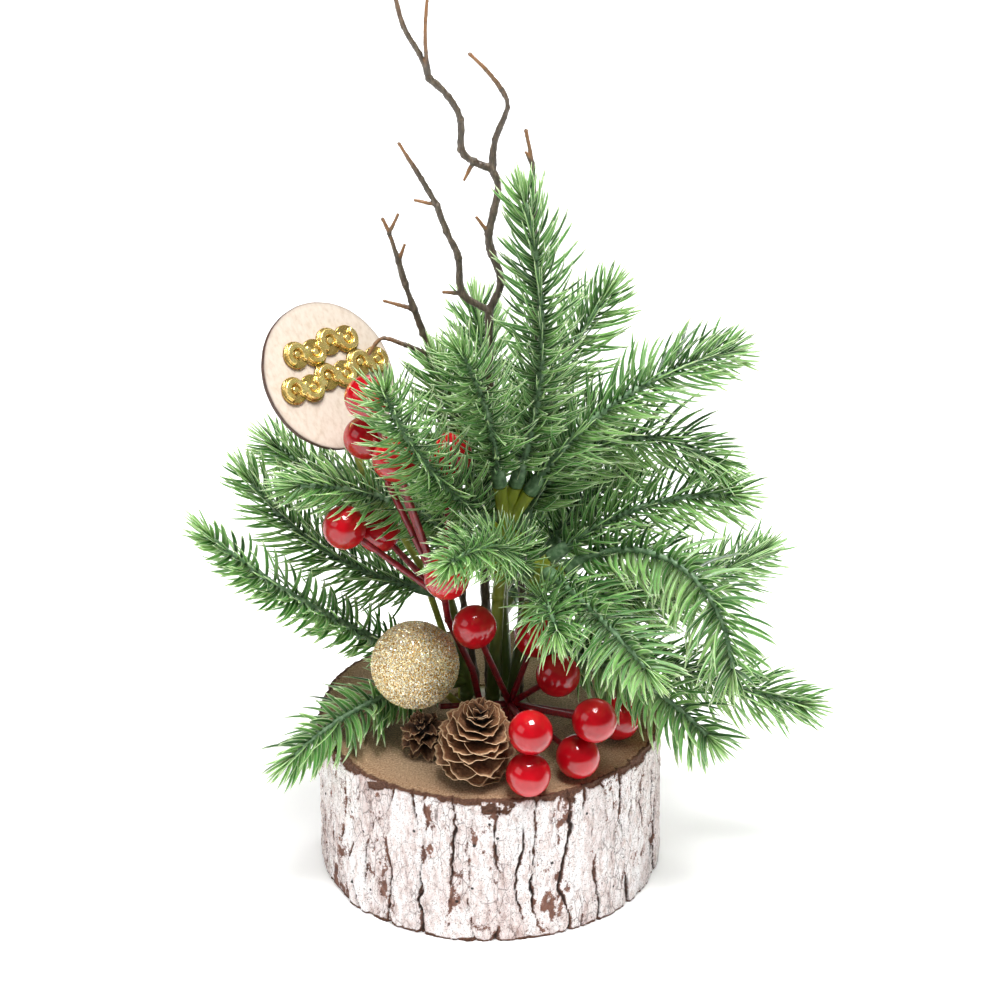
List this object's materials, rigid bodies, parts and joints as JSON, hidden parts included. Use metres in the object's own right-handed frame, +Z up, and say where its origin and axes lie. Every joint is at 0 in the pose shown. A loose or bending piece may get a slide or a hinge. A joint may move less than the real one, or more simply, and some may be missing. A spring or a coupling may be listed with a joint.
{
  "type": "artificial tabletop tree",
  "caption": "Tabletop Christmas tree: push-on needle sprigs, bare twigs, berry picks, a glitter ball, pine cones and a wooden disc planted in a whitewashed log slice.",
  "frame": {"origin": "centre of the log slice's flat underside", "axes": "+Z up along the tree, -Y towards the front with the cone, berries and ball, +X to the viewer's right"},
  "size_m": [0.2115, 0.1738, 0.3125],
  "materials": {
    "log_wood": "sawn end grain, dull",
    "whitewashed_bark": "rough bark with a broken coat of white paint",
    "hot_melt": "cloudy hot-melt glue",
    "stem_plastic": "moulded polyethylene, satin",
    "needle_plastic": "moulded polyethylene needles, satin",
    "twig_plastic": "moulded, dull",
    "berry_wire": "wrapped wire, satin",
    "berry_lacquer": "high-gloss red lacquer",
    "glitter": "gold glitter flakes",
    "stick_plastic": "satin",
    "cone_scale": "dry woody scales with pale edges",
    "plaque_wood": "sanded thin board with a laser-burnt edge",
    "gilt_plastic": "gold plated, polished"
  },
  "bodies": {
    "tree": {"stem_upper": "stem_plastic", "stem_right": "stem_plastic", "stem_left": "stem_plastic", "stem_back": "stem_plastic", "twig_main": "twig_plastic", "twig_left": "twig_plastic", "twig_right": "twig_plastic", "berry_stems_front": "berry_wire", "berry_front_1": "berry_lacquer", "berry_front_2": "berry_lacquer", "berry_front_3": "berry_lacquer", "berry_front_4": "berry_lacquer", "berry_front_5": "berry_lacquer", "berry_front_6": "berry_lacquer", "berry_front_7": "berry_lacquer", "berry_front_8": "berry_lacquer", "berry_stems_upper": "berry_wire", "berry_upper_1": "berry_lacquer", "berry_upper_2": "berry_lacquer", "berry_upper_3": "berry_lacquer", "berry_upper_4": "berry_lacquer", "berry_upper_5": "berry_lacquer", "berry_upper_6": "berry_lacquer", "berry_upper_7": "berry_lacquer", "ball_stick": "stick_plastic", "glitter_ball": "glitter", "cone_front": "cone_scale", "cone_back": "cone_scale", "plaque_disc": "plaque_wood", "plaque_stick": "stick_plastic", "plaque_ornament": "gilt_plastic", "base_log": "log_wood", "base_bark": "whitewashed_bark", "glue_plug": "hot_melt"},
    "sprig_upper_1": {"sprig_upper_1": "needle_plastic"},
    "sprig_upper_2": {"sprig_upper_2": "needle_plastic"},
    "sprig_upper_3": {"sprig_upper_3": "needle_plastic"},
    "sprig_upper_4": {"sprig_upper_4": "needle_plastic"},
    "sprig_upper_5": {"sprig_upper_5": "needle_plastic"},
    "sprig_upper_6": {"sprig_upper_6": "needle_plastic"},
    "sprig_upper_7": {"sprig_upper_7": "needle_plastic"},
    "sprig_upper_8": {"sprig_upper_8": "needle_plastic"},
    "sprig_right_1": {"sprig_right_1": "needle_plastic"},
    "sprig_right_2": {"sprig_right_2": "needle_plastic"},
    "sprig_right_3": {"sprig_right_3": "needle_plastic"},
    "sprig_right_4": {"sprig_right_4": "needle_plastic"},
    "sprig_right_5": {"sprig_right_5": "needle_plastic"},
    "sprig_right_6": {"sprig_right_6": "needle_plastic"},
    "sprig_right_7": {"sprig_right_7": "needle_plastic"},
    "sprig_right_8": {"sprig_right_8": "needle_plastic"},
    "sprig_right_9": {"sprig_right_9": "needle_plastic"},
    "sprig_right_10": {"sprig_right_10": "needle_plastic"},
    "sprig_left_1": {"sprig_left_1": "needle_plastic"},
    "sprig_left_2": {"sprig_left_2": "needle_plastic"},
    "sprig_left_3": {"sprig_left_3": "needle_plastic"},
    "sprig_back_1": {"sprig_back_1": "needle_plastic"},
    "sprig_back_2": {"sprig_back_2": "needle_plastic"},
    "sprig_back_3": {"sprig_back_3": "needle_plastic"},
    "sprig_back_4": {"sprig_back_4": "needle_plastic"},
    "sprig_back_5": {"sprig_back_5": "needle_plastic"}
  },
  "joints": [
    {"name": "sprig_upper_1_twist", "type": "hinge", "parent": "tree", "child": "sprig_upper_1", "pos_m": [0.00863, 0.0001, 0.14308], "axis": [0.2764, -0.0952, 0.9563], "range_deg": [-30, 30]},
    {"name": "sprig_upper_2_twist", "type": "hinge", "parent": "tree", "child": "sprig_upper_2", "pos_m": [0.01046, 0.00645, 0.14149], "axis": [0.2811, 0.2714, 0.9205], "range_deg": [-30, 30]},
    {"name": "sprig_upper_3_twist", "type": "hinge", "parent": "tree", "child": "sprig_upper_3", "pos_m": [0.01333, 0.00148, 0.13972], "axis": [0.5296, 0.0185, 0.848], "range_deg": [-30, 30]},
    {"name": "sprig_upper_4_twist", "type": "hinge", "parent": "tree", "child": "sprig_upper_4", "pos_m": [0.01019, 0.00445, 0.12437], "axis": [0.4147, 0.1847, 0.891], "range_deg": [-30, 30]},
    {"name": "sprig_upper_5_twist", "type": "hinge", "parent": "tree", "child": "sprig_upper_5", "pos_m": [0.0035, -0.00398, 0.14522], "axis": [-0.0897, -0.2606, 0.9613], "range_deg": [-30, 30]},
    {"name": "sprig_upper_6_twist", "type": "hinge", "parent": "tree", "child": "sprig_upper_6", "pos_m": [0.00043, 0.00354, 0.12135], "axis": [-0.2875, 0.1528, 0.9455], "range_deg": [-30, 30]},
    {"name": "sprig_upper_7_twist", "type": "hinge", "parent": "tree", "child": "sprig_upper_7", "pos_m": [-0.00013, -0.00332, 0.13019], "axis": [-0.5162, -0.4648, 0.7193], "range_deg": [-30, 30]},
    {"name": "sprig_upper_8_twist", "type": "hinge", "parent": "tree", "child": "sprig_upper_8", "pos_m": [-0.00486, 0.00094, 0.11818], "axis": [-0.7286, -0.0637, 0.682], "range_deg": [-15, 15]},
    {"name": "sprig_right_1_twist", "type": "hinge", "parent": "tree", "child": "sprig_right_1", "pos_m": [0.02052, 0.00143, 0.11477], "axis": [0.7821, 0.096, 0.6157], "range_deg": [-30, 30]},
    {"name": "sprig_right_2_twist", "type": "hinge", "parent": "tree", "child": "sprig_right_2", "pos_m": [0.02591, 0.00061, 0.11127], "axis": [0.8138, -0.1582, 0.5592], "range_deg": [-30, 30]},
    {"name": "sprig_right_3_twist", "type": "hinge", "parent": "tree", "child": "sprig_right_3", "pos_m": [0.01972, -0.00433, 0.11242], "axis": [0.4529, -0.8888, 0.0698], "range_deg": [-30, 30]},
    {"name": "sprig_right_4_twist", "type": "hinge", "parent": "tree", "child": "sprig_right_4", "pos_m": [0.01927, 0.00224, 0.08053], "axis": [0.9192, -0.3902, -0.0523], "range_deg": [-30, 30]},
    {"name": "sprig_right_5_twist", "type": "hinge", "parent": "tree", "child": "sprig_right_5", "pos_m": [0.02227, 0.00618, 0.08406], "axis": [0.9334, 0.0163, -0.3584], "range_deg": [-30, 30]},
    {"name": "sprig_right_6_twist", "type": "hinge", "parent": "tree", "child": "sprig_right_6", "pos_m": [0.0229, 0.00944, 0.09085], "axis": [0.9155, 0.3886, -0.1045], "range_deg": [-30, 30]},
    {"name": "sprig_right_7_twist", "type": "hinge", "parent": "tree", "child": "sprig_right_7", "pos_m": [0.02038, 0.00515, 0.09585], "axis": [0.9888, 0.0865, 0.1219], "range_deg": [-30, 30]},
    {"name": "sprig_right_8_twist", "type": "hinge", "parent": "tree", "child": "sprig_right_8", "pos_m": [0.01913, 0.00726, 0.11125], "axis": [0.422, 0.6257, 0.6561], "range_deg": [-30, 30]},
    {"name": "sprig_right_9_twist", "type": "hinge", "parent": "tree", "child": "sprig_right_9", "pos_m": [0.01317, -0.00407, 0.11219], "axis": [-0.2376, -0.6528, 0.7193], "range_deg": [-30, 30]},
    {"name": "sprig_right_10_twist", "type": "hinge", "parent": "tree", "child": "sprig_right_10", "pos_m": [0.01545, -0.00383, 0.10236], "axis": [0.1519, -0.8613, 0.4848], "range_deg": [-30, 20]},
    {"name": "sprig_left_1_twist", "type": "hinge", "parent": "tree", "child": "sprig_left_1", "pos_m": [-0.01794, 0.00541, 0.10042], "axis": [-0.9806, 0.1378, 0.1392], "range_deg": [-30, 30]},
    {"name": "sprig_left_2_twist", "type": "hinge", "parent": "tree", "child": "sprig_left_2", "pos_m": [-0.01637, 0.00393, 0.07136], "axis": [-0.8522, -0.1967, 0.4848], "range_deg": [-30, 30]},
    {"name": "sprig_left_3_twist", "type": "hinge", "parent": "tree", "child": "sprig_left_3", "pos_m": [-0.01511, 0.00121, 0.06639], "axis": [-0.8259, -0.5364, 0.1736], "range_deg": [-30, 30]},
    {"name": "sprig_back_1_twist", "type": "hinge", "parent": "tree", "child": "sprig_back_1", "pos_m": [-0.00223, 0.02555, 0.09995], "axis": [-0.9174, 0.2287, 0.3256], "range_deg": [-30, 30]},
    {"name": "sprig_back_2_twist", "type": "hinge", "parent": "tree", "child": "sprig_back_2", "pos_m": [0.00183, 0.02896, 0.11484], "axis": [-0.0565, 0.3206, 0.9455], "range_deg": [-30, 30]},
    {"name": "sprig_back_3_twist", "type": "hinge", "parent": "tree", "child": "sprig_back_3", "pos_m": [0.0065, 0.02695, 0.09372], "axis": [0.432, 0.7793, 0.454], "range_deg": [-30, 30]},
    {"name": "sprig_back_4_twist", "type": "hinge", "parent": "tree", "child": "sprig_back_4", "pos_m": [-0.00137, 0.032, 0.09859], "axis": [-0.483, 0.8365, 0.2588], "range_deg": [-30, 30]},
    {"name": "sprig_back_5_twist", "type": "hinge", "parent": "tree", "child": "sprig_back_5", "pos_m": [0.00673, 0.02888, 0.08353], "axis": [0.2585, 0.9646, -0.0523], "range_deg": [-30, 30]}
  ]
}
